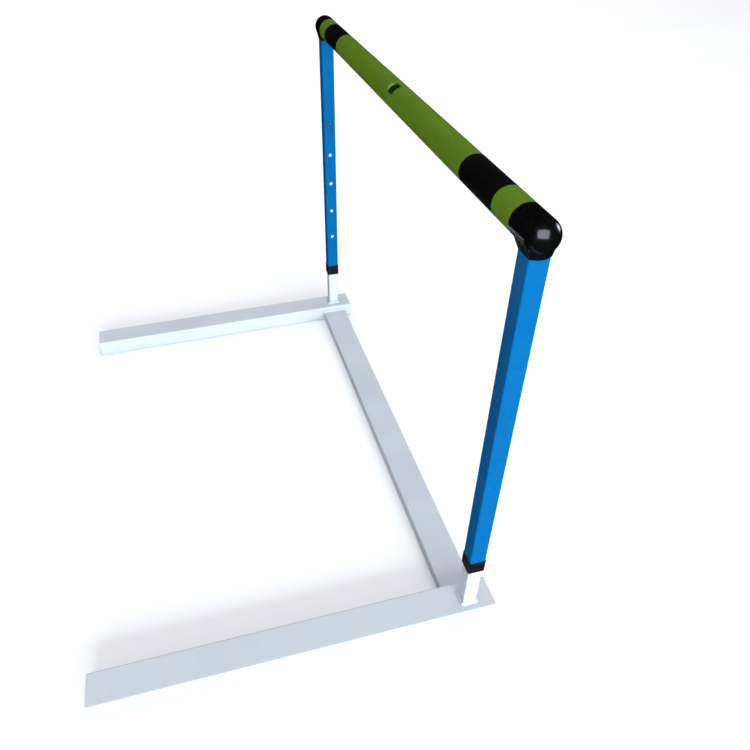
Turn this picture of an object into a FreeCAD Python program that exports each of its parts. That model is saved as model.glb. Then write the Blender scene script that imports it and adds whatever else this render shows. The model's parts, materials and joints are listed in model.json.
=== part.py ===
"""Agility hurdle: a welded base with two posts, and a foam crossbar frame that slides on them.

Frame: +X along the crossbar, the feet reach forward to -Y, +Z up.
The origin is on the floor under the middle of the object. Lengths are millimetres.
"""
import FreeCAD, Part
import os

import Sketcher
from FreeCAD import Placement, Rotation, Vector

DIMENSIONS = {
    # base
    "span": 1050.0,
    "foot_width": 60.0,
    "foot_height": 40.0,
    "foot_tube_length": 700.0,
    "foot_wall": 1.5,
    "foot_corner": 3.0,
    "cap_flange": 4.0,
    "cap_plug_length": 22.0,
    "cap_plug_wall": 2.0,
    "cap_plug_gap": 0.15,
    "cap_edge": 1.2,
    "cross_width": 60.0,
    "cross_height": 25.0,
    "cross_wall": 1.5,
    "cross_corner": 2.5,
    "cross_setback": 49.5,
    "weld_leg": 5.0,
    # fixed posts
    "upright_inset": 29.0,
    "upright_setback": 45.6,
    "post_size": 25.0,
    "post_wall": 1.5,
    "post_corner": 2.2,
    "post_top": 620.0,
    "post_plug_flange": 2.0,
    "post_plug_length": 18.0,
    "post_plug_gap": 0.15,
    # sliding outer tubes, at the lowest of the five settings
    "tube_size": 28.0,
    "tube_wall": 1.2,
    "tube_corner": 2.4,
    "tube_top": 741.5,
    "hole_radius": 4.25,
    "hole_pitch": 75.0,
    "hole_count": 5,
    "lock_height": 555.0,
    "collar_size": 30.0,
    "collar_corner": 3.0,
    "collar_bottom": 137.0,
    "collar_height": 27.0,
    "collar_lip": 7.0,
    "collar_gap": 0.25,
    "collar_fit": 0.05,
    # lock button and its spring
    "button_radius": 3.9,
    "button_hole_radius": 4.0,
    "button_reach": 17.0,
    "button_tip": 2.2,
    "button_flange_radius": 5.4,
    "button_flange": 1.5,
    "spring_width": 11.0,
    "spring_strip": 1.2,
    "spring_length": 62.0,
    "spring_bend_start": 4.0,
    "spring_bend_depth": 6.0,
    "spring_front": 8.8,
    "spring_back": 10.2,
    # crossbar
    "bar_height": 766.5,
    "bar_radius": 21.5,
    "core_radius": 17.5,
    "core_wall": 1.5,
    "core_half": 498.0,
    "sleeve_fit": 0.05,
    "sleeve_joint_gap": 0.3,
    "head_inner": 466.0,
    "band_outer": 419.0,
    "band_inner": 320.0,
    "joint_offset": 31.5,
    "notch_length": 28.0,
    "notch_half_width": 10.0,
    "notch_turn": 33.5,
    # heads
    "dome_centre": 503.5,
    "neck_rise": 23.0,
    "neck_inset": 0.5,
    "neck_half_width": 20.5,
    "chin_bulge": 5.0,
    "brow_bulge": 14.4,
    "neck_edge": 1.5,
    "spigot_length": 42.0,
    "spigot_wall": 2.5,
    "spigot_fit": 0.1,
}

SIDES = {"left": -1, "right": 1}
ENDS = {"front": -1, "rear": 1}

doc = FreeCAD.newDocument("agility_hurdle")
sheet = doc.addObject("Spreadsheet::Sheet", "Dims")
for row, (alias, value) in enumerate(DIMENSIONS.items(), start=1):
    sheet.set(f"A{row}", alias)
    sheet.set(f"B{row}", str(value))
    sheet.setAlias(f"B{row}", alias)
doc.recompute()

bodies = []


def bind(obj, **expressions):
    """Bind properties of an object to the sheet; names in the expressions are aliases."""
    for name, expression in expressions.items():
        obj.setExpression(name.replace("__", "."), with_sheet(expression))


def with_sheet(expression):
    """Put the sheet's name before every alias in an expression."""
    words = []
    for word in expression.replace("(", " ( ").replace(")", " ) ").split():
        words.append(f"Dims.{word}" if word in DIMENSIONS else word)
    return " ".join(words)


def new_body(name, place=None, turn=(0, 0, 0)):
    """A body with its own label, placed by expressions and turned by yaw, pitch and roll."""
    body = doc.addObject("PartDesign::Body", name)
    body.Label = name
    body.Placement = Placement(Vector(0, 0, 0), Rotation(*turn))
    for axis, expression in (place or {}).items():
        body.setExpression(f"Placement.Base.{axis}", with_sheet(expression))
    bodies.append(body)
    return body


def origin_of(body, role):
    """One of the body's own origin planes or axes."""
    return next(f for f in body.Origin.OriginFeatures if f.Role == role)


def new_sketch(body, plane, height="0"):
    """A sketch on one of the body's origin planes, shifted along the plane's normal."""
    sketch = body.newObject("Sketcher::SketchObject", "Sketch")
    sketch.AttachmentSupport = [(origin_of(body, plane), "")]
    sketch.MapMode = "FlatFace"
    sketch.setExpression("AttachmentOffset.Base.z", with_sheet(height))
    return sketch


def name_constraint(sketch, index, name, expression):
    sketch.renameConstraint(index, name)
    sketch.setExpression(f"Constraints.{name}", with_sheet(expression))


def add_rectangle(sketch, name, left, right, bottom, top):
    """A rectangle given by the distances of its sides from the sketch's axes, outwards."""
    start = sketch.GeometryCount
    corners = [Vector(-5, -4, 0), Vector(6, -4, 0), Vector(6, 3, 0), Vector(-5, 3, 0)]
    for i in range(4):
        sketch.addGeometry(Part.LineSegment(corners[i], corners[(i + 1) % 4]), False)
    for i in range(4):
        ends = (start + i, 2, start + (i + 1) % 4, 1)
        sketch.addConstraint(Sketcher.Constraint("Coincident", *ends))
    for i in (0, 2):
        sketch.addConstraint(Sketcher.Constraint("Horizontal", start + i))
        sketch.addConstraint(Sketcher.Constraint("Vertical", start + i + 1))
    # (side, the constraint's kind, the line whose start lies on that side, its expression)
    sides = (
        ("left", "DistanceX", start, left),
        ("right", "DistanceX", start + 1, right),
        ("bottom", "DistanceY", start, bottom),
        ("top", "DistanceY", start + 2, top),
    )
    for side, kind, line, expression in sides:
        guess = -1.0 if side in ("left", "bottom") else 1.0
        index = sketch.addConstraint(Sketcher.Constraint(kind, line, 1, guess))
        name_constraint(sketch, index, f"{name}_{side}", expression)


def add_centred_rectangle(sketch, name, width, height):
    half_w, half_h = f"( {width} ) / 2", f"( {height} ) / 2"
    add_rectangle(sketch, name, f"-1 * {half_w}", half_w, f"-1 * {half_h}", half_h)


def add_circle(sketch, name, radius, across="0", up="0"):
    """A circle with its centre at (across, up) in the sketch."""
    index = sketch.addGeometry(Part.Circle(Vector(1, 1, 0), Vector(0, 0, 1), 3.0), False)
    for part, kind, expression in (("across", "DistanceX", across), ("up", "DistanceY", up)):
        number = sketch.addConstraint(Sketcher.Constraint(kind, index, 3, 1.0))
        name_constraint(sketch, number, f"{name}_{part}", expression)
    number = sketch.addConstraint(Sketcher.Constraint("Radius", index, 3.0))
    name_constraint(sketch, number, f"{name}_radius", radius)


def add_outline(sketch, name, points):
    """A closed outline through points whose (across, up) are expressions."""
    values = [(evaluate(across), evaluate(up)) for across, up in points]
    count = len(points)
    start = sketch.GeometryCount
    for i in range(count):
        ends = (Vector(*values[i], 0), Vector(*values[(i + 1) % count], 0))
        sketch.addGeometry(Part.LineSegment(*ends), False)
    for i in range(count):
        ends = (start + i, 2, start + (i + 1) % count, 1)
        sketch.addConstraint(Sketcher.Constraint("Coincident", *ends))
    for i, (across, up) in enumerate(points):
        for part, kind, expression in (("x", "DistanceX", across), ("y", "DistanceY", up)):
            fixed = Sketcher.Constraint(kind, start + i, 1, evaluate(expression))
            number = sketch.addConstraint(fixed)
            name_constraint(sketch, number, f"{name}_{part}{i}", expression)


def evaluate(expression):
    """The value of an expression of aliases, for a sketch's first guess."""
    value = sheet.evalExpression(with_sheet(expression))
    return float(getattr(value, "Value", value))


def pad(body, sketch, length, reverse=False, middle=False):
    feature = body.newObject("PartDesign::Pad", "Pad")
    feature.Profile = sketch
    feature.Reversed = reverse
    feature.Midplane = middle
    bind(feature, Length=length)
    doc.recompute()
    return feature


def pocket(body, sketch, length=None, reverse=False):
    """Cut the sketch into the body, through all of it or to a length, and check that it cut."""
    before = body.Shape.Volume
    feature = body.newObject("PartDesign::Pocket", "Pocket")
    feature.Profile = sketch
    feature.Reversed = reverse
    if length is None:
        feature.Type = "ThroughAll"
    else:
        bind(feature, Length=length)
    doc.recompute()
    if not body.Shape.Volume < before - 1e-3:
        raise RuntimeError(f"a pocket in {body.Label} cut nothing")
    return feature


def fillet(body, radius, choose):
    """Round every edge of the body's last feature that choose(edge) accepts."""
    base = body.Tip
    edges = [f"Edge{i}" for i, e in enumerate(base.Shape.Edges, start=1) if choose(e)]
    if not edges:
        raise RuntimeError(f"no edge to round in {body.Label}")
    feature = body.newObject("PartDesign::Fillet", "Fillet")
    feature.Base = (base, edges)
    bind(feature, Radius=radius)
    doc.recompute()
    return feature


def direction_of(edge):
    """The direction of a straight edge, or a null vector for a curved one."""
    ends = edge.valueAt(edge.FirstParameter), edge.valueAt(edge.LastParameter)
    chord = ends[1] - ends[0]
    if chord.Length < 0.999 * edge.Length or chord.Length < 1e-6:
        return Vector(0, 0, 0)
    chord.normalize()
    return chord


def along(axis):
    """A test for straight edges parallel to an axis."""
    direction = {"x": Vector(1, 0, 0), "y": Vector(0, 1, 0), "z": Vector(0, 0, 1)}[axis]
    return lambda edge: abs(direction_of(edge).dot(direction)) > 0.9999


def off_axis(edge, axis):
    """How far the edge's middle is from an axis of the body, the larger of the two offsets."""
    middle = edge.valueAt((edge.FirstParameter + edge.LastParameter) / 2)
    offsets = {"x": (middle.y, middle.z), "y": (middle.x, middle.z), "z": (middle.x, middle.y)}
    return max(abs(v) for v in offsets[axis])


def hollow_tube(body, plane, axis, width, height, wall, corner, length):
    """A centred rectangular tube along an axis, round outside and inside its corners."""
    sketch = new_sketch(body, plane)
    add_centred_rectangle(sketch, "outer", width, height)
    inside = f"- 2 * {wall}"
    add_centred_rectangle(sketch, "inner", f"{width} {inside}", f"{height} {inside}")
    pad(body, sketch, length, middle=True)
    limit = max(evaluate(width), evaluate(height)) / 2 - evaluate(wall) / 2
    fillet(body, corner, lambda e: along(axis)(e) and off_axis(e, axis) > limit)
    inner = f"{corner} - {wall}"
    fillet(body, inner, lambda e: along(axis)(e) and is_sharp(e, axis, width, height, wall))


def is_sharp(edge, axis, width, height, wall):
    """Whether the edge is one of a rectangular tube's four inner corners."""
    middle = edge.valueAt((edge.FirstParameter + edge.LastParameter) / 2)
    offsets = {"x": (middle.y, middle.z), "y": (middle.x, middle.z), "z": (middle.x, middle.y)}
    across, up = offsets[axis]
    at_width = abs(abs(across) - (evaluate(width) / 2 - evaluate(wall))) < 1e-4
    at_height = abs(abs(up) - (evaluate(height) / 2 - evaluate(wall))) < 1e-4
    return at_width and at_height


def build_foot(side, sign):
    """A rectangular tube along Y."""
    place = {
        "x": f"{sign} * ( span - foot_width ) / 2",
        "z": "foot_height / 2",
    }
    body = new_body(f"{side}_foot", place)
    hollow_tube(
        body, "XZ_Plane", "y", "foot_width", "foot_height", "foot_wall", "foot_corner",
        "foot_tube_length",
    )


def build_foot_cap(side, sign, end, way):
    """A plastic end plug: a flange over the tube's end and a hollow plug inside it."""
    place = {
        "x": f"{sign} * ( span - foot_width ) / 2",
        "y": f"{way} * foot_tube_length / 2",
        "z": "foot_height / 2",
    }
    yaw = 0 if way < 0 else 180
    body = new_body(f"{side}_{end}_cap", place, (yaw, 0, 0))
    flange = new_sketch(body, "XZ_Plane")
    add_centred_rectangle(flange, "flange", "foot_width", "foot_height")
    pad(body, flange, "cap_flange")
    fillet(body, "foot_corner", along("y"))
    face = evaluate("cap_flange")
    fillet(body, "cap_edge", lambda e: abs(e.CenterOfMass.y + face) < 1e-4)
    inside = "2 * ( foot_wall + cap_plug_gap )"
    plug = new_sketch(body, "XZ_Plane")
    size = (f"foot_width - {inside}", f"foot_height - {inside}")
    add_centred_rectangle(plug, "plug", *size)
    pad(body, plug, "cap_plug_length", reverse=True)
    plug_corner = "foot_corner - foot_wall"
    behind = evaluate("cap_plug_length") / 3
    fillet(body, plug_corner, lambda e: along("y")(e) and e.CenterOfMass.y > behind)
    hollow = new_sketch(body, "XZ_Plane")
    wall = "2 * cap_plug_wall"
    add_centred_rectangle(hollow, "hollow", f"{size[0]} - {wall}", f"{size[1]} - {wall}")
    pocket(body, hollow, "cap_plug_length", reverse=False)


def build_cross_member():
    """A rectangular tube along X on the floor, between the feet's inner faces."""
    place = {
        "y": "foot_tube_length / 2 + cap_flange - cross_setback",
        "z": "cross_height / 2",
    }
    body = new_body("cross_member", place)
    length = "span - 2 * foot_width"
    hollow_tube(
        body, "YZ_Plane", "x", "cross_width", "cross_height", "cross_wall", "cross_corner",
        length,
    )


def build_cross_weld(side, sign):
    """A weld bead along the top and both sides of a cross member's end."""
    place = {
        "x": f"{sign} * ( span / 2 - foot_width )",
        "y": "foot_tube_length / 2 + cap_flange - cross_setback",
        "z": "cross_height / 2",
    }
    body = new_body(f"{side}_cross_weld", place, (0 if sign < 0 else 180, 0, 0))
    bead = new_sketch(body, "YZ_Plane")
    floor, top = "-1 * cross_height / 2", "cross_height / 2"
    leg = "cross_width / 2 + weld_leg"
    add_rectangle(bead, "bead", f"-1 * ( {leg} )", leg, floor, f"{top} + weld_leg")
    pad(body, bead, "weld_leg")
    fillet(body, "cross_corner + weld_leg", lambda e: along("x")(e) and e.CenterOfMass.z > 0)
    tube = new_sketch(body, "YZ_Plane")
    add_rectangle(tube, "tube", "-1 * cross_width / 2", "cross_width / 2", f"{floor} - 1", top)
    pocket(body, tube, reverse=True)
    half = evaluate("cross_width") / 2
    fillet(
        body, "cross_corner",
        lambda e: along("x")(e) and e.CenterOfMass.z > 0 and abs(off_axis(e, "x") - half) < 1e-3,
    )
    tube_top = evaluate(top)
    slope_off(body, lambda m: is_far(m.x) and (abs(m.y) > half + 0.5 or m.z > tube_top + 0.5))


def is_far(distance):
    """Whether a distance is that of a weld bead's far face."""
    return abs(distance - evaluate("weld_leg")) < 1e-3


def slope_off(body, is_rim):
    """Bevel the outer rim of a bead into the slope of a weld; is_rim tests an edge's middle."""
    base = body.Tip
    rim = [f"Edge{i}" for i, e in enumerate(base.Shape.Edges, start=1) if is_rim(e.CenterOfMass)]
    bevel = body.newObject("PartDesign::Chamfer", "Slope")
    bevel.Base = (base, rim)
    bind(bevel, Size="0.8 * weld_leg")
    doc.recompute()


def loft(body, first, second):
    feature = body.newObject("PartDesign::AdditiveLoft", "Loft")
    feature.Profile = first
    feature.Sections = [second]
    feature.Ruled = True
    doc.recompute()
    return feature


def upright_place(sign, height="0"):
    """Where an upright's axis stands, at a height."""
    return {
        "x": f"{sign} * ( span / 2 - upright_inset )",
        "y": "foot_tube_length / 2 + cap_flange - upright_setback",
        "z": height,
    }


def facing(sign):
    """The yaw that points a body's +X outwards on its side."""
    return (0 if sign > 0 else 180, 0, 0)


def build_post(side, sign):
    """The fixed square tube that stands on the foot, with a hole for the lock button."""
    middle = "( foot_height + post_top ) / 2"
    body = new_body(f"{side}_post", upright_place(sign, middle), facing(sign))
    hollow_tube(
        body, "XY_Plane", "z", "post_size", "post_size", "post_wall", "post_corner",
        "post_top - foot_height",
    )
    hole = new_sketch(body, "YZ_Plane")
    add_circle(hole, "lock", "button_hole_radius", up=f"lock_height - {middle}")
    pocket(body, hole, "post_size", reverse=False)


def build_post_weld(side, sign):
    """A weld bead round the foot of a post."""
    body = new_body(f"{side}_post_weld", upright_place(sign, "foot_height"), facing(sign))
    bead = new_sketch(body, "XY_Plane")
    add_centred_rectangle(bead, "bead", *["post_size + 2 * weld_leg"] * 2)
    pad(body, bead, "weld_leg")
    fillet(body, "post_corner + weld_leg", along("z"))
    hole = new_sketch(body, "XY_Plane")
    add_centred_rectangle(hole, "post", "post_size", "post_size")
    pocket(body, hole, reverse=True)
    half = evaluate("post_size") / 2
    fillet(
        body, "post_corner", lambda e: along("z")(e) and abs(off_axis(e, "z") - half) < 1e-3
    )
    slope_off(body, lambda m: is_far(m.z) and max(abs(m.x), abs(m.y)) > half + 0.5)


def build_post_plug(side, sign):
    """The plastic plug in the top of a post, which keeps the post centred in the outer tube."""
    body = new_body(f"{side}_post_plug", upright_place(sign, "post_top"), facing(sign))
    flange = new_sketch(body, "XY_Plane")
    add_centred_rectangle(flange, "flange", "post_size", "post_size")
    pad(body, flange, "post_plug_flange")
    fillet(body, "post_corner", along("z"))
    size = "post_size - 2 * ( post_wall + post_plug_gap )"
    plug = new_sketch(body, "XY_Plane")
    add_centred_rectangle(plug, "plug", size, size)
    pad(body, plug, "post_plug_length", reverse=True)
    fillet(body, "post_corner - post_wall", lambda e: along("z")(e) and e.CenterOfMass.z < -1)
    hollow = new_sketch(body, "XY_Plane")
    inner = f"{size} - 2 * cap_plug_wall"
    add_centred_rectangle(hollow, "hollow", inner, inner)
    pocket(body, hollow, "post_plug_length", reverse=False)


def build_outer_tube(side, sign):
    """The sliding square tube, with the height holes down its inner face."""
    bottom = "( collar_bottom + collar_lip )"
    middle = f"( tube_top + {bottom} ) / 2"
    body = new_body(f"{side}_outer_tube", upright_place(sign, middle), facing(sign))
    hollow_tube(
        body, "XY_Plane", "z", "tube_size", "tube_size", "tube_wall", "tube_corner",
        f"tube_top - {bottom}",
    )
    hole = new_sketch(body, "YZ_Plane")
    add_circle(hole, "setting", "hole_radius", up=f"lock_height - {middle}")
    first = pocket(body, hole, "tube_size", reverse=False)
    pattern = body.newObject("PartDesign::LinearPattern", "Settings")
    pattern.Originals = [first]
    pattern.Direction = (origin_of(body, "Z_Axis"), [""])
    pattern.Reversed = True
    bind(pattern, Length="hole_pitch * ( hole_count - 1 )", Occurrences="hole_count")
    body.Tip = pattern
    doc.recompute()


def build_collar(side, sign):
    """The plastic sleeve on the outer tube's lower end; its lip guides the post."""
    body = new_body(f"{side}_collar", upright_place(sign, "collar_bottom"), facing(sign))
    outer = new_sketch(body, "XY_Plane")
    add_centred_rectangle(outer, "outer", "collar_size", "collar_size")
    pad(body, outer, "collar_height")
    fillet(body, "collar_corner", along("z"))
    through = new_sketch(body, "XY_Plane")
    lip = "post_size + 2 * collar_gap"
    add_centred_rectangle(through, "lip", lip, lip)
    pocket(body, through, reverse=True)
    seat = new_sketch(body, "XY_Plane", "collar_lip")
    size = "tube_size + 2 * collar_fit"
    add_centred_rectangle(seat, "seat", size, size)
    pocket(body, seat, "collar_height", reverse=True)
    half = evaluate(size) / 2
    fillet(
        body, "tube_corner",
        lambda e: along("z")(e) and abs(off_axis(e, "z") - half) < 1e-4,
    )


def build_head(side, sign):
    """The moulded elbow: a domed socket for the bar over a square neck and a spigot."""
    body = new_body(f"{side}_head", upright_place(sign, "bar_height"), facing(sign))
    upright = "( span / 2 - upright_inset )"
    inner, dome = f"head_inner - {upright}", f"dome_centre - {upright}"
    section = new_sketch(body, "YZ_Plane", inner)
    add_circle(section, "barrel", "bar_radius")
    pad(body, section, "dome_centre - head_inner")
    cap = body.newObject("PartDesign::AdditiveSphere", "Dome")
    cap.Angle1 = 0
    cap.Placement = Placement(Vector(0, 0, 0), Rotation(Vector(0, 1, 0), 90))
    bind(cap, Radius="bar_radius", Placement__Base__x=dome)
    doc.recompute()
    base = "tube_top - bar_height"
    low = new_sketch(body, "XY_Plane", base)
    high = new_sketch(body, "XY_Plane", f"{base} + neck_rise")
    half = "tube_size / 2"
    add_neck_section(low, "low", f"-1 * {half}", half, "chin_bulge")
    add_neck_section(high, "high", f"{inner} + neck_inset", "neck_half_width", "brow_bulge")
    loft(body, low, high)
    throat = evaluate(f"-1 * {half}") + 0.01
    fillet(body, "neck_edge", lambda e: is_rising(e) and e.CenterOfMass.x < throat)
    spigot = new_sketch(body, "XY_Plane", base)
    size = "tube_size - 2 * ( tube_wall + spigot_fit )"
    add_centred_rectangle(spigot, "spigot", size, size)
    pad(body, spigot, "spigot_length", reverse=True)
    below = evaluate(base) - 1
    fillet(body, "neck_edge", lambda e: along("z")(e) and e.CenterOfMass.z < below)
    bore = new_sketch(body, "XY_Plane", f"{base} - spigot_length")
    hole = f"{size} - 2 * spigot_wall"
    add_centred_rectangle(bore, "bore", hole, hole)
    pocket(body, bore, "spigot_length", reverse=True)
    socket = new_sketch(body, "YZ_Plane", inner)
    add_circle(socket, "socket", "core_radius + sleeve_fit")
    pocket(body, socket, "core_half - head_inner + 1", reverse=True)


def add_neck_section(sketch, name, inner, half_width, bulge):
    """A level section of a neck: three straight sides, and an outer side that bulges outwards."""
    corners = [(inner, f"-1 * {half_width}"), ("tube_size / 2", f"-1 * {half_width}")]
    corners += [("tube_size / 2", half_width), (inner, half_width)]
    points = [Vector(evaluate(across), evaluate(up), 0) for across, up in corners]
    crown = Vector(points[1].x + evaluate(bulge), 0, 0)
    sketch.addGeometry(Part.LineSegment(points[3], points[0]), False)
    sketch.addGeometry(Part.LineSegment(points[0], points[1]), False)
    sketch.addGeometry(Part.Arc(points[1], crown, points[2]), False)
    sketch.addGeometry(Part.LineSegment(points[2], points[3]), False)
    for line, (across, up) in ((0, corners[3]), (1, corners[0]), (3, corners[2])):
        for part, kind, expression in (("x", "DistanceX", across), ("y", "DistanceY", up)):
            fixed = Sketcher.Constraint(kind, line, 1, evaluate(expression))
            number = sketch.addConstraint(fixed)
            name_constraint(sketch, number, f"{name}_{part}{line}", expression)
    for line in (0, 1):
        sketch.addConstraint(Sketcher.Constraint("Coincident", line, 2, line + 1, 1))
    sketch.addConstraint(Sketcher.Constraint("Coincident", 2, 2, 3, 1))
    sketch.addConstraint(Sketcher.Constraint("Coincident", 3, 2, 0, 1))


def is_rising(edge):
    """Whether a straight edge climbs rather than lies level."""
    return abs(direction_of(edge).z) > 0.4


def build_lock_button(side, sign):
    """The round-nosed pin that locks a post to its outer tube, pointing inwards."""
    body = new_body(f"{side}_lock_button", upright_place(sign, "lock_height"), facing(-sign))
    profile = new_sketch(body, "XZ_Plane")
    wall = "post_size / 2 - post_wall - 0.05"
    nose = "button_reach - button_tip"
    points = [
        (f"{wall} - button_flange", "0"),
        (f"{wall} - button_flange", "button_flange_radius"),
        (wall, "button_flange_radius"),
        (wall, "button_radius"),
        (nose, "button_radius"),
        ("button_reach", "button_radius - 0.7 * button_tip"),
        ("button_reach", "0"),
    ]
    add_outline(profile, "pin", points)
    turned = body.newObject("PartDesign::Revolution", "Pin")
    turned.Profile = profile
    turned.ReferenceAxis = (origin_of(body, "X_Axis"), [""])
    turned.Angle = 360
    doc.recompute()
    nose_start = evaluate(nose) - 0.01
    seam = evaluate("1.4 * button_tip")
    fillet(body, "0.4 * button_tip", lambda e: e.CenterOfMass.x > nose_start and e.Length > seam)


def build_lock_spring(side, sign):
    """The bent steel strip inside a post that pushes its lock button out."""
    body = new_body(f"{side}_lock_spring", upright_place(sign, "lock_height"), facing(-sign))
    path = new_sketch(body, "XZ_Plane")
    lead = evaluate("spring_length / 4")
    front, back = evaluate("spring_front"), evaluate("-1 * spring_back")
    bend = evaluate("spring_bend_start")
    low = evaluate("-1 * spring_length")
    lowest = low - evaluate("spring_bend_depth")
    corners = [Vector(*xy, 0) for xy in ((front, lead), (front, -lead / 2), (bend, low))]
    end = Vector(back, low, 0)
    spine = [
        Part.LineSegment(corners[0], corners[1]),
        Part.LineSegment(corners[1], corners[2]),
        Part.Arc(corners[2], Vector((bend + back) / 2, lowest, 0), end),
        Part.LineSegment(end, Vector(back, lead, 0)),
    ]
    for piece in spine:
        path.addGeometry(piece, False)
    doc.recompute()
    profile = new_sketch(body, "XY_Plane", "spring_length / 4")
    strip, width = "spring_strip / 2", "spring_width / 2"
    faces = f"spring_front - {strip}", f"spring_front + {strip}"
    add_rectangle(profile, "strip", *faces, f"-1 * {width}", width)
    sweep = body.newObject("PartDesign::AdditivePipe", "Strip")
    sweep.Profile = profile
    sweep.Spine = (path, [f"Edge{i}" for i in range(1, len(spine) + 1)])
    sweep.Transition = "Right corner"
    doc.recompute()


def build_core_tube():
    """The plain tube that runs the whole length of the crossbar."""
    body = new_body("core_tube", bar_place("0"))
    sketch = new_sketch(body, "YZ_Plane")
    add_circle(sketch, "outer", "core_radius")
    add_circle(sketch, "inner", "core_radius - core_wall")
    pad(body, sketch, "2 * core_half", middle=True)


def bar_place(start):
    """A place on the crossbar's axis."""
    return {
        "x": start,
        "y": "foot_tube_length / 2 + cap_flange - upright_setback",
        "z": "bar_height",
    }


def build_sleeve(name, start, end, roll="0"):
    """A foam sleeve on the core tube, from one place along the bar to another."""
    body = new_body(name, bar_place(start), (0, 0, evaluate(roll)))
    sketch = new_sketch(body, "YZ_Plane")
    add_circle(sketch, "outer", "bar_radius")
    add_circle(sketch, "inner", "core_radius + sleeve_fit")
    pad(body, sketch, f"{end} - ( {start} )")
    return body


def build_sleeves():
    """Six sleeves: on each half a short end ring, a dark band and a long one to the joint."""
    edges = {
        "ring": ("band_outer", "head_inner"),
        "band": ("band_inner", "band_outer"),
    }
    for side, sign in SIDES.items():
        for kind, (near, far) in edges.items():
            start, end = (near, far) if sign > 0 else (f"-1 * {far}", f"-1 * {near}")
            build_sleeve(f"{side}_{kind}_sleeve", start, end)
    build_sleeve("right_long_sleeve", "joint_offset", "band_inner")
    joint = "joint_offset - sleeve_joint_gap"
    body = build_sleeve("left_long_sleeve", "-1 * band_inner", joint, "notch_turn")
    # a notch with a round end, open at the joint, shows the core tube
    end, half = f"( {joint} + band_inner )", "notch_half_width"
    centre = f"{end} - notch_length + {half}"
    round_end = new_sketch(body, "XY_Plane")
    add_circle(round_end, "round_end", half, across=centre)
    pocket(body, round_end, reverse=True)
    mouth = new_sketch(body, "XY_Plane")
    add_rectangle(mouth, "mouth", centre, f"{end} + 5", f"-1 * {half}", half)
    pocket(body, mouth, reverse=True)


for side, sign in SIDES.items():
    build_foot(side, sign)
    for end, way in ENDS.items():
        build_foot_cap(side, sign, end, way)
    build_cross_weld(side, sign)
    build_post(side, sign)
    build_post_weld(side, sign)
    build_post_plug(side, sign)
    build_lock_button(side, sign)
    build_lock_spring(side, sign)
    build_outer_tube(side, sign)
    build_collar(side, sign)
    build_head(side, sign)
build_cross_member()
build_core_tube()
build_sleeves()
doc.recompute()

for obj in doc.Objects:
    if "Invalid" in obj.State or "Error" in obj.State:
        raise RuntimeError(f"{obj.Label} did not compute: {obj.State}")
os.makedirs("parts", exist_ok=True)
for body in bodies:
    shape = body.Shape
    if shape.isNull() or not shape.isValid() or len(shape.Solids) != 1:
        raise RuntimeError(f"{body.Label} is not one valid solid")
    shape.exportStep(f"parts/{body.Label}.step")
    box = shape.BoundBox
    print(f"{body.Label:22s} {shape.Volume:12.1f} mm3  x {box.XMin:8.2f} {box.XMax:8.2f}"
          f"  y {box.YMin:8.2f} {box.YMax:8.2f}  z {box.ZMin:8.2f} {box.ZMax:8.2f}")
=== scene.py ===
import json
import math

import bmesh
import bpy
from mathutils import Matrix, Quaternion, Vector, noise


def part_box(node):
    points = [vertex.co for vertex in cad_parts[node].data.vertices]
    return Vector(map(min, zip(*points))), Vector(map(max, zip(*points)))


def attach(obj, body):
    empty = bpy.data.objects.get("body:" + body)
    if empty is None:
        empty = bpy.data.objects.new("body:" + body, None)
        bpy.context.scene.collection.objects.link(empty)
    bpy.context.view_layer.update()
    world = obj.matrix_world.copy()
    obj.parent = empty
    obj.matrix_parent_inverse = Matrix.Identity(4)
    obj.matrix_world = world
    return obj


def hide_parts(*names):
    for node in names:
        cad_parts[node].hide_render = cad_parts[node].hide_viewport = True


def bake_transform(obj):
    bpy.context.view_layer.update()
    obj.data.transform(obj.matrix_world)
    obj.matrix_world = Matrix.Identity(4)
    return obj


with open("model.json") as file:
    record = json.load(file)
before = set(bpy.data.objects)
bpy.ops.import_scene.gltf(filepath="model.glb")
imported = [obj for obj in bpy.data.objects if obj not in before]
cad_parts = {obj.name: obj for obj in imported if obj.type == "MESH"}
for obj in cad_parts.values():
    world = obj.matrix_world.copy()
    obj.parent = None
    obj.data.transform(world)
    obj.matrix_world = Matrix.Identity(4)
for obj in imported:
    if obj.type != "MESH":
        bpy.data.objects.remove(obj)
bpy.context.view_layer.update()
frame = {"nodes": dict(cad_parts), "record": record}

MM = 0.001
SIDES = {"left": -1, "right": 1}

# camera: azimuth 0 looks along +Y, and the roll turns it about its own line of sight
CAMERA_PLACE = (1.0712, -0.0592, 1.1134)
CAMERA_AZIMUTH, CAMERA_ELEVATION, CAMERA_ROLL = 76.472, 39.814, -1.312
CAMERA_LENS = 31.52
CAMERA_SHIFT = (0.0497, -0.0058)

# lamps: name, place, what they point at, size, radiance, colour, and the rays that see them
BACKDROP_GREY = 0.86
LAMPS = (
    ("ceiling", (-1.5, 0.0, 7.0), (-1.5, 0.0, 0.0), (44.0, 44.0), 0.62, (0.97, 0.965, 1.0), "diffuse"),
    ("window", (6.0, 1.1, 1.6), (0.0, 0.9, 0.4), (6.0, 3.0), 12.0, (0.90, 1.0, 1.0), "diffuse"),
    ("backdrop", (-6.5, 1.0, 4.5), (-5.0, 1.0, 0.0), (8.0, 14.0), 1.1, (0.97, 0.965, 1.0), "diffuse"),
    ("panel", (2.6, -0.55, 2.15), (0.5, 0.3, 0.77), (3.4, 2.5), 6.4, (0.82, 0.84, 1.0), "glossy"),
    ("strip", (0.2, 2.2, 1.15), (0.5, 0.3, 0.77), (0.7, 0.6), 9.0, (0.85, 0.87, 1.0), "glossy"),
)

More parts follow.
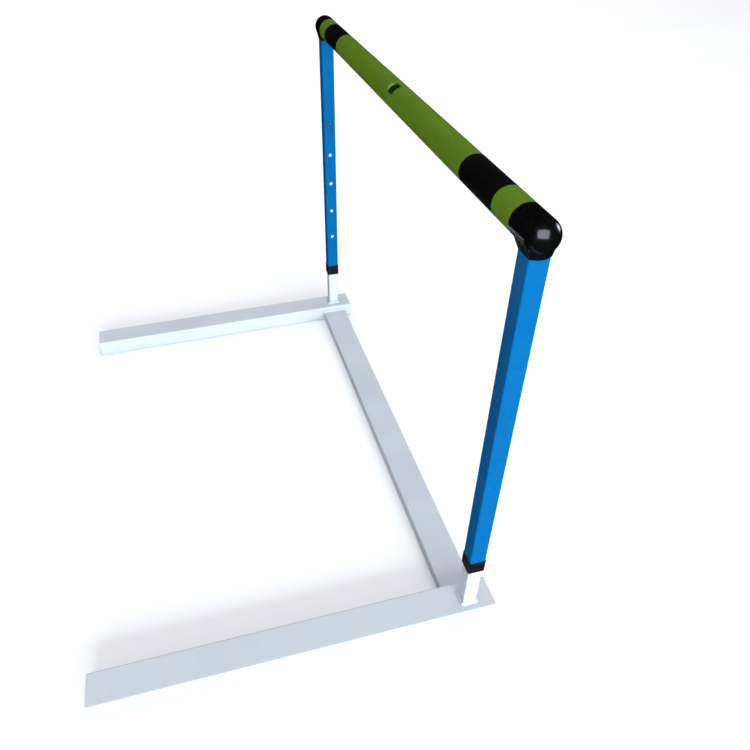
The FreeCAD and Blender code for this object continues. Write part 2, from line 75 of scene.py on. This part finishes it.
# foam sleeves
SLEEVE_COLUMNS = 96
SLEEVE_ROW = 9 * MM
SLEEVE_FIT = 0.05 * MM
SLEEVE_EDGE = 0.9 * MM
SLEEVE_WAVE = 0.16 * MM
WAVE_ALONG, WAVE_ROUND = 22.0, 60.0
SKIN_SHARE = 0.9
NOTCH_LENGTH = 28 * MM
NOTCH_HALF_WIDTH = 10 * MM
NOTCH_TURN = 123.5
NOTCH_COLUMNS = 28
NOTCH_LEAD = 6 * MM

# weld beads
WELD_STEP = 0.8 * MM
WELD_RIPPLE = 2.6 * MM
WELD_PROFILE = 9
WELD_SINK = 0.4 * MM
WELD_FLOOR_GAP = 0.6 * MM
WELD_SHAPE = 0.86, 0.10, 0.10
WELD_WANDER = 260.0
ARC_STEPS = 5
POST_CORNER = 2.2 * MM
CROSS_CORNER = 2.5 * MM

# lock springs: the strip is cut across at heights about this far apart
SPRING_STEP = 3 * MM

SOCKETS = {
    "roughness": "Roughness",
    "metallic": "Metallic",
    "specular": "Specular IOR Level",
    "coat": "Coat Weight",
    "coat_roughness": "Coat Roughness",
}


class Paint:
    """One material and its node tree, with short ways to add the nodes that it needs."""

    def __init__(self, name, **finish):
        self.material = bpy.data.materials.new(name)
        self.material.use_nodes = True
        self.tree = self.material.node_tree
        self.shader = self.tree.nodes["Principled BSDF"]
        for key, value in finish.items():
            self.shader.inputs[SOCKETS[key]].default_value = value
        self.where = self.tree.nodes.new("ShaderNodeTexCoord").outputs["Object"]

    def node(self, kind, inputs=(), **settings):
        made = self.tree.nodes.new(f"ShaderNode{kind}")
        for key, value in settings.items():
            setattr(made, key, value)
        for key, value in dict(inputs).items():
            if isinstance(value, bpy.types.NodeSocket):
                self.tree.links.new(value, made.inputs[key])
            else:
                made.inputs[key].default_value = value
        return made

    def link(self, socket, name):
        self.tree.links.new(socket, self.shader.inputs[name])

    def stretched(self, scale):
        """Object coordinates scaled by an amount along each axis."""
        return self.node("Mapping", {"Vector": self.where, "Scale": scale}).outputs["Vector"]

    def noise(self, scale, detail=2.0, where=None, distortion=0.0):
        inputs = {"Vector": where or self.where, "Scale": scale, "Detail": detail}
        inputs["Distortion"] = distortion
        return self.node("TexNoise", inputs).outputs["Fac"]

    def cells(self, scale, feature="F1", where=None):
        inputs = {"Vector": where or self.where, "Scale": scale}
        return self.node("TexVoronoi", inputs, feature=feature).outputs["Distance"]

    def between(self, value, low, high, start=0.0, end=1.0):
        """Map a value from low..high to start..end, smoothly and no further."""
        inputs = {"Value": value, "From Min": low, "From Max": high, "To Min": start, "To Max": end}
        return self.node("MapRange", inputs, interpolation_type="SMOOTHSTEP").outputs["Result"]

    def mix(self, factor, first, second):
        made = self.node("Mix", data_type="RGBA")
        for place, value in ((0, factor), (6, first), (7, second)):
            socket = made.inputs[place]
            if isinstance(value, bpy.types.NodeSocket):
                self.tree.links.new(value, socket)
            else:
                socket.default_value = value
        return made.outputs[2]

    def bump(self, height, depth, under=None):
        """A bump of a depth in metres, on top of another one if given."""
        inputs = {"Height": height, "Distance": depth, "Strength": 1.0}
        if under:
            inputs["Normal"] = under
        return self.node("Bump", inputs).outputs["Normal"]


def rgb(red, green, blue):
    return (red, green, blue, 1.0)


def powder_coat(name, colour, shade, roughness, scuffs, specular):
    """Baked powder paint: orange peel, faint unevenness in the colour and a few rubbed streaks."""
    paint = Paint(name, specular=specular)
    cloud = paint.between(paint.noise(9.0, 3.0), 0.35, 0.68)
    streaks = paint.noise(1.0, 4.0, paint.stretched((260.0, 260.0, 9.0)))
    rubbed = paint.between(streaks, 0.66, 0.74, 0.0, scuffs)
    base = paint.mix(cloud, colour, shade)
    paint.link(paint.mix(rubbed, base, rgb(0.42, 0.44, 0.47)), "Base Color")
    dull = paint.noise(35.0, 3.0)
    paint.link(paint.between(dull, 0.3, 0.7, roughness - 0.05, roughness + 0.07), "Roughness")
    peel = paint.bump(paint.noise(620.0, 1.0), 0.00005)
    paint.link(paint.bump(paint.noise(4200.0, 1.0), 0.000006, peel), "Normal")
    return paint.material


def moulded_plastic(name, colour, shade, roughness, grain, coat):
    """Moulded plastic: a fine grain, slight flow marks and patches that are duller."""
    paint = Paint(name, specular=0.25, coat=coat, coat_roughness=0.09)
    flow = paint.noise(45.0, 4.0, distortion=1.5)
    paint.link(paint.mix(paint.between(flow, 0.4, 0.7), colour, shade), "Base Color")
    worn = paint.noise(120.0, 5.0, paint.stretched((1.0, 3.0, 0.6)))
    paint.link(paint.between(worn, 0.42, 0.72, roughness, roughness + 0.16), "Roughness")
    paint.link(paint.bump(paint.noise(2600.0, 2.0), grain), "Normal")
    return paint.material


def foam(name, skin, shade, cut):
    """Closed-cell foam: a leathery skin outside, and paler open cells on faces across the bar."""
    paint = Paint(name, specular=0.10)
    mottle = paint.noise(38.0, 4.0, paint.stretched((0.35, 1.0, 1.0)))
    pores = paint.cells(780.0, "SMOOTH_F1")
    pits = paint.between(pores, 0.05, 0.42)
    skin_colour = paint.mix(paint.between(mottle, 0.32, 0.7), skin, shade)
    normal = paint.node("NewGeometry").outputs["Normal"]
    across = paint.node("SeparateXYZ", {"Vector": normal}).outputs["X"]
    turned = paint.node("Math", {0: across}, operation="ABSOLUTE").outputs[0]
    is_cut = paint.between(turned, 0.55, 0.9)
    cut_colour = paint.mix(paint.between(pores, 0.1, 0.5), shade, cut)
    paint.link(paint.mix(is_cut, skin_colour, cut_colour), "Base Color")
    paint.link(paint.between(mottle, 0.3, 0.75, 0.42, 0.58), "Roughness")
    leather = paint.bump(paint.noise(210.0, 3.0), 0.00012)
    paint.link(paint.bump(pits, 0.00007, leather), "Normal")
    return paint.material


def steel(name, colour, shade, roughness):
    """Plated steel with fine brushing along Z and cloudy patches."""
    paint = Paint(name, metallic=1.0)
    brushing = paint.noise(1.0, 3.0, paint.stretched((5200.0, 5200.0, 260.0)))
    cloud = paint.noise(160.0, 3.0)
    paint.link(paint.mix(paint.between(cloud, 0.35, 0.7), colour, shade), "Base Color")
    paint.link(paint.between(brushing, 0.3, 0.7, roughness - 0.06, roughness + 0.1), "Roughness")
    paint.link(paint.bump(brushing, 0.00001), "Normal")
    return paint.material


def make_materials():
    """The record's material slots, each with its own procedural material."""
    white, grey = rgb(0.52, 0.55, 0.61), rgb(0.49, 0.52, 0.585)
    return {
        "white_powder_coat": powder_coat("white_paint", white, grey, 0.38, 0.10, 0.35),
        "blue_powder_coat": powder_coat(
            "blue_paint", rgb(0.0, 0.094, 0.272), rgb(0.0, 0.085, 0.247), 0.30, 0.02, 0.05
        ),
        "white_plastic": moulded_plastic(
            "white_plastic", rgb(0.53, 0.555, 0.61), rgb(0.50, 0.525, 0.58), 0.42, 0.00002, 0.0
        ),
        "black_gloss_plastic": moulded_plastic(
            "black_gloss", rgb(0.002, 0.002, 0.002), rgb(0.004, 0.004, 0.004), 0.20, 0.000004, 0.5
        ),
        "black_matte_plastic": moulded_plastic(
            "black_satin", rgb(0.005, 0.006, 0.007), rgb(0.009, 0.010, 0.011), 0.36, 0.00002, 0.0
        ),
        "core_plastic": moulded_plastic(
            "core_black", rgb(0.002, 0.003, 0.003), rgb(0.005, 0.006, 0.006), 0.34, 0.00001, 0.0
        ),
        "green_foam": foam(
            "green_foam", rgb(0.106, 0.202, 0.006), rgb(0.090, 0.178, 0.004), rgb(0.17, 0.33, 0.05)
        ),
        "black_foam": foam(
            "black_foam", rgb(0.0022, 0.0026, 0.0020), rgb(0.0036, 0.0038, 0.0032), rgb(0.01, 0.01, 0.01)
        ),
        "plated_steel": steel("plated_steel", rgb(0.62, 0.62, 0.64), rgb(0.48, 0.48, 0.51), 0.30),
        "spring_steel": steel("spring_steel", rgb(0.32, 0.33, 0.36), rgb(0.22, 0.23, 0.26), 0.34),
    }


def paint_cad_nodes(materials):
    """Give every CAD node the material of its slot."""
    for part in frame["record"]["subparts"]:
        mesh = frame["nodes"][part["node"]].data
        mesh.materials.clear()
        mesh.materials.append(materials[part["material_slot"]])


def finish_piece(name, maker, body, node, material):
    """Turn a bmesh into a smooth piece that stands for a CAD node and rides on its body."""
    mesh = bpy.data.meshes.new(name)
    maker.to_mesh(mesh)
    maker.free()
    mesh.materials.append(material)
    mesh.polygons.foreach_set("use_smooth", [True] * len(mesh.polygons))
    piece = bpy.data.objects.new(name, mesh)
    bpy.context.scene.collection.objects.link(piece)
    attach(piece, body)
    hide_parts(node)
    return piece


def apply_modifiers(piece):
    """Bake the piece's modifiers into its mesh."""
    evaluated = piece.evaluated_get(bpy.context.evaluated_depsgraph_get())
    mesh = bpy.data.meshes.new_from_object(evaluated)
    old = piece.data
    piece.modifiers.clear()
    piece.data = mesh
    bpy.data.meshes.remove(old)


def spread(start, end, step):
    """Evenly spaced values from start to end, about a step apart, ends included."""
    count = max(1, round(abs(end - start) / step))
    return [start + (end - start) * i / count for i in range(count + 1)]


class Column:
    """One line along a sleeve: its angle outside and inside, and the places of its rings."""

    def __init__(self, outer_angle, inner_angle, places, in_notch):
        self.angles = (outer_angle, inner_angle)
        self.places = places
        self.in_notch = in_notch


def plain_columns(places):
    """Columns all round a sleeve that has no notch."""
    angles = [2 * math.pi * i / SLEEVE_COLUMNS for i in range(SLEEVE_COLUMNS)]
    return [Column(a, a, places, False) for a in angles]


def notched_columns(places, end, radii, half, centre, turn):
    """Columns round a sleeve whose end has a notch: a slot with a round end, cut along a radius."""
    lead = places[-1]
    straight = spread(centre, end, SLEEVE_ROW / 2)[1:]
    near = spread(lead, centre, SLEEVE_ROW / 2)[1:]
    whole = places + near + straight
    columns = []
    for i in range(NOTCH_COLUMNS + 1):
        across = half * math.sin(math.pi * (i / NOTCH_COLUMNS - 0.5))
        stop = centre - math.sqrt(max(half * half - across * across, 0.0))
        angles = [turn + math.asin(across / r) for r in radii]
        reach = [lead + (x - lead) * (stop - lead) / (centre - lead) for x in near]
        at_side = i in (0, NOTCH_COLUMNS)
        columns.append(Column(*angles, whole if at_side else places + reach, not at_side))
    plain = SLEEVE_COLUMNS - NOTCH_COLUMNS
    gaps = [2 * math.pi - 2 * math.asin(half / r) for r in radii]
    for i in range(1, plain):
        angles = [turn + math.asin(half / r) + g * i / plain for r, g in zip(radii, gaps)]
        columns.append(Column(*angles, whole, False))
    return columns, len(places) + len(near)


def lay_rings(maker, column, axis, radii):
    """The column's points on the outer and inner surface of the sleeve."""
    lines = []
    for angle, radius in zip(column.angles, radii):
        spoke = Vector((0.0, math.cos(angle), math.sin(angle)))
        centre = Vector((0.0, axis.y, axis.z))
        rim = centre + radius * spoke
        lines.append([maker.verts.new(rim + Vector((x, 0.0, 0.0))) for x in column.places])
    return lines


def sleeve_mesh(columns, shared, axis, radii):
    """A closed sleeve from its columns; shared is how many rings a notch's columns have."""
    maker = bmesh.new()
    lines = [lay_rings(maker, column, axis, radii) for column in columns]
    rims = []
    for i, column in enumerate(columns):
        after = (i + 1) % len(columns)
        (outer, inner), (next_outer, next_inner) = lines[i], lines[after]
        open_here = column.in_notch or columns[after].in_notch
        count = shared if open_here else len(outer)
        for k in range(count - 1):
            maker.faces.new((outer[k], next_outer[k], next_outer[k + 1], outer[k + 1]))
            maker.faces.new((inner[k + 1], next_inner[k + 1], next_inner[k], inner[k]))
        last = count - 1
        maker.faces.new((outer[last], next_outer[last], next_inner[last], inner[last]))
        maker.faces.new((inner[0], next_inner[0], next_outer[0], outer[0]))
        for k in (0, last):
            rims += [(outer[k], next_outer[k]), (inner[k], next_inner[k])]
    for i, column in enumerate(columns):
        outer, inner = lines[i]
        sides = (columns[i - 1].in_notch, columns[(i + 1) % len(columns)].in_notch)
        if column.in_notch or not any(sides):
            continue
        for k in range(shared - 1, len(outer) - 1):
            corners = (outer[k], outer[k + 1], inner[k + 1], inner[k])
            maker.faces.new(corners if sides[1] else corners[::-1])
            rims += [(outer[k], outer[k + 1]), (inner[k], inner[k + 1])]
        rims.append((outer[-1], inner[-1]))
    weight = maker.edges.layers.float.new("bevel_weight_edge")
    for pair in rims:
        edge = maker.edges.get(pair)
        edge[weight] = 1.0
    bmesh.ops.recalc_face_normals(maker, faces=maker.faces)
    return maker


def wave(mesh, axis, outer):
    """Give the sleeve's skin the slight unevenness of foam, mostly along the bar."""
    for vertex in mesh.vertices:
        spoke = Vector((0.0, vertex.co.y - axis.y, vertex.co.z - axis.z))
        if spoke.length < SKIN_SHARE * outer:
            continue
        co = vertex.co
        place = Vector((co.x * WAVE_ALONG, co.y * WAVE_ROUND, co.z * WAVE_ROUND))
        vertex.co += spoke.normalized() * (noise.noise(place) - 0.5) * SLEEVE_WAVE


def build_sleeve(node, material):
    """One foam sleeve with softly rounded rims in the place of its CAD solid."""
    low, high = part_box(node)
    core_low, core_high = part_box("core_tube")
    axis = (core_low + core_high) / 2
    outer = (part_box("right_ring_sleeve")[1].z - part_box("right_ring_sleeve")[0].z) / 2
    radii = (outer, (core_high.z - core_low.z) / 2 + SLEEVE_FIT)
    if node == "left_long_sleeve":
        centre = high.x - NOTCH_LENGTH + NOTCH_HALF_WIDTH
        places = spread(low.x, high.x - NOTCH_LENGTH - NOTCH_LEAD, SLEEVE_ROW)
        turn = math.radians(NOTCH_TURN)
        columns, shared = notched_columns(places, high.x, radii, NOTCH_HALF_WIDTH, centre, turn)
    else:
        columns, shared = plain_columns(spread(low.x, high.x, SLEEVE_ROW)), 0
    maker = sleeve_mesh(columns, shared, axis, radii)
    piece = finish_piece(f"{node}_foam", maker, "crossbar_frame", node, material)
    rounding = piece.modifiers.new("rims", "BEVEL")
    rounding.limit_method = "WEIGHT"
    rounding.width, rounding.segments = SLEEVE_EDGE, 3
    apply_modifiers(piece)
    wave(piece.data, axis, outer)
    piece.modifiers.new("normals", "WEIGHTED_NORMAL").keep_sharp = True
    return piece


def ripple(distance, seed):
    """How proud a weld bead is after a distance along it: overlapping crescents, a little uneven."""
    phase = (distance / WELD_RIPPLE) % 1.0
    crescent = math.sqrt(max(0.0, 1.0 - (2.0 * phase - 1.0) ** 2))
    wander = noise.noise(Vector((distance * WELD_WANDER, seed, 0.0)))
    level, rise, drift = WELD_SHAPE
    return level + rise * crescent + drift * wander


def bead_mesh(stations, leg, sink, closed, seed):
    """A fillet weld along stations of (place, direction away, direction up along the joint)."""
    maker = bmesh.new()
    rings, run = [], 0.0
    for i, (place, away, along) in enumerate(stations):
        if i:
            run += (place - stations[i - 1][0]).length
        size = leg * ripple(run, seed)
        ring = [maker.verts.new(place - away * sink - along * sink)]
        for k in range(WELD_PROFILE + 1):
            angle = math.pi / 2 * k / WELD_PROFILE
            belly = 0.80 + 0.20 * abs(math.cos(2 * angle))
            point = away * math.cos(angle) + along * math.sin(angle)
            offset = place + point * size * belly
            ring.append(maker.verts.new(offset - (along * sink if k == 0 else Vector())))
        ring[-1].co -= away * sink
        rings.append(ring)
    pairs = zip(rings, rings[1:] + rings[:1]) if closed else zip(rings, rings[1:])
    for ring, after in pairs:
        for k in range(len(ring)):
            j = (k + 1) % len(ring)
            maker.faces.new((ring[k], ring[j], after[j], after[k]))
    if not closed:
        maker.faces.new(rings[0])
        maker.faces.new(rings[-1][::-1])
    bmesh.ops.recalc_face_normals(maker, faces=maker.faces)
    return maker


def rounded_path(corners, corner, closed):
    """Points along straight runs joined by quarter turns, each with the direction to its right."""
    count = len(corners)
    runs = []
    for i in range(count if closed else count - 1):
        runs.append((corners[i], corners[(i + 1) % count]))
    path = []
    for i, (start, end) in enumerate(runs):
        ahead = (end - start).normalized()
        right = Vector((ahead.y, -ahead.x))
        begins = start if not closed and i == 0 else start + ahead * corner
        ends = end if not closed and i == len(runs) - 1 else end - ahead * corner
        for d in spread(0.0, (ends - begins).length, WELD_STEP):
            path.append((begins + ahead * d, right))
        if not closed and i == len(runs) - 1:
            break
        hub = ends - right * corner
        for k in range(1, ARC_STEPS):
            angle = math.pi / 2 * k / ARC_STEPS
            spoke = right * math.cos(angle) + ahead * math.sin(angle)
            path.append((hub + spoke * corner, spoke))
    return path


def build_post_weld(side, material):
    """The bead round the foot of a post, on top of the foot."""
    node = f"{side}_post_weld"
    post_low, post_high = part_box(f"{side}_post")
    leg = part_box(node)[1].z - post_low.z
    low, high = post_low.xy, post_high.xy
    corners = [Vector(low), Vector((high.x, low.y)), Vector(high), Vector((low.x, high.y))]
    stations = [
        (Vector((*place, post_low.z)), Vector((*right, 0.0)), Vector((0.0, 0.0, 1.0)))
        for place, right in rounded_path(corners, POST_CORNER, True)
    ]
    maker = bead_mesh(stations, leg, WELD_SINK, True, 3.0 + SIDES[side])
    return finish_piece(f"{side}_post_bead", maker, "base", node, material)


def build_cross_weld(side, material):
    """The bead up, over and down the end of the cross member, against the foot."""
    node = f"{side}_cross_weld"
    low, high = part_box("cross_member")
    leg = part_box(node)[1].z - high.z
    sign = SIDES[side]
    face = high.x if sign > 0 else low.x
    outline = [
        Vector((high.y, WELD_FLOOR_GAP)),
        Vector((high.y, high.z)),
        Vector((low.y, high.z)),
        Vector((low.y, WELD_FLOOR_GAP)),
    ]
    stations = [
        (Vector((face, *place)), Vector((0.0, *right)), Vector((-sign, 0.0, 0.0)))
        for place, right in rounded_path(outline, CROSS_CORNER, False)
    ]
    maker = bead_mesh(stations, leg, WELD_SINK, False, 7.0 + sign)
    return finish_piece(f"{side}_cross_bead", maker, "base", node, material)


def build_spring(side, material):
    """A lock spring's strip from its CAD solid, cut across at even heights; it takes the solid's place.
    """
    node = f"{side}_lock_spring"
    low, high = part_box(node)
    maker = bmesh.new()
    maker.from_mesh(frame["nodes"][node].data)
    for height in spread(low.z, high.z, SPRING_STEP)[1:-1]:
        everything = [*maker.verts, *maker.edges, *maker.faces]
        bmesh.ops.bisect_plane(maker, geom=everything, plane_co=(0, 0, height), plane_no=(0, 0, 1))
    mesh = bpy.data.meshes.new(f"{node}_strip")
    maker.to_mesh(mesh)
    maker.free()
    mesh.materials.append(material)
    piece = bpy.data.objects.new(mesh.name, mesh)
    bpy.context.scene.collection.objects.link(piece)
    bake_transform(piece)
    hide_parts(node)


def build_camera():
    camera = bpy.data.objects.new("camera", bpy.data.cameras.new("camera"))
    azimuth, elevation = math.radians(CAMERA_AZIMUTH), math.radians(CAMERA_ELEVATION)
    flat = math.cos(elevation)
    back = Vector((math.sin(azimuth) * flat, -math.cos(azimuth) * flat, math.sin(elevation)))
    turn = (-back).to_track_quat("-Z", "Y") @ Quaternion((0.0, 0.0, 1.0), math.radians(CAMERA_ROLL))
    camera.matrix_world = Matrix.LocRotScale(Vector(CAMERA_PLACE), turn, None)
    camera.data.lens, camera.data.sensor_width = CAMERA_LENS, 36.0
    camera.data.shift_x, camera.data.shift_y = CAMERA_SHIFT
    bpy.context.scene.collection.objects.link(camera)
    bpy.context.scene.camera = camera


def build_light(name, place, aim, size, radiance, colour, seen_by):
    """A soft rectangular lamp at a place, aimed at a point; its power follows its size."""
    lamp = bpy.data.lights.new(name, "AREA")
    lamp.shape, lamp.size, lamp.size_y = "RECTANGLE", *size
    lamp.energy, lamp.color = radiance * math.pi * size[0] * size[1], colour
    holder = bpy.data.objects.new(name, lamp)
    turn = (Vector(aim) - Vector(place)).to_track_quat("-Z", "Y")
    holder.matrix_world = Matrix.LocRotScale(Vector(place), turn, None)
    holder.visible_diffuse = seen_by == "diffuse"
    holder.visible_glossy = seen_by == "glossy"
    bpy.context.scene.collection.objects.link(holder)


def build_floor():
    """A pale floor, large enough to fill every view."""
    mesh = bpy.data.meshes.new("floor")
    half = 10.0
    corners = [(-half, -half, 0.0), (half, -half, 0.0), (half, half, 0.0), (-half, half, 0.0)]
    mesh.from_pydata(corners, [], [(0, 1, 2, 3)])
    floor = bpy.data.objects.new("floor", mesh)
    floor.location.z = -0.4 * MM
    floor.visible_glossy = False
    paint = Paint("floor", roughness=0.8, specular=0.2)
    cloud = paint.between(paint.noise(1.3, 2.0), 0.3, 0.7)
    paint.link(paint.mix(cloud, rgb(0.94, 0.94, 0.945), rgb(0.92, 0.92, 0.93)), "Base Color")
    mesh.materials.append(paint.material)
    bpy.context.scene.collection.objects.link(floor)


def build_studio():
    """An even soft ceiling, a large window on the +X side and a pale surround that lights nothing."""
    build_floor()
    world = bpy.data.worlds.new("surround")
    world.use_nodes = True
    background = world.node_tree.nodes["Background"]
    background.inputs["Color"].default_value = rgb(BACKDROP_GREY, BACKDROP_GREY, BACKDROP_GREY)
    world.cycles_visibility.diffuse = False
    world.cycles_visibility.glossy = False
    bpy.context.scene.world = world
    for lamp in LAMPS:
        build_light(*lamp)
    bpy.context.scene.view_settings.view_transform = "Standard"


def main():
    materials = make_materials()
    build_camera()
    build_studio()
    paint_cad_nodes(materials)
    for side in SIDES:
        for kind, slot in (("ring", "green_foam"), ("band", "black_foam"), ("long", "green_foam")):
            build_sleeve(f"{side}_{kind}_sleeve", materials[slot])
        build_post_weld(side, materials["white_powder_coat"])
        build_cross_weld(side, materials["white_powder_coat"])
        build_spring(side, materials["spring_steel"])


main()
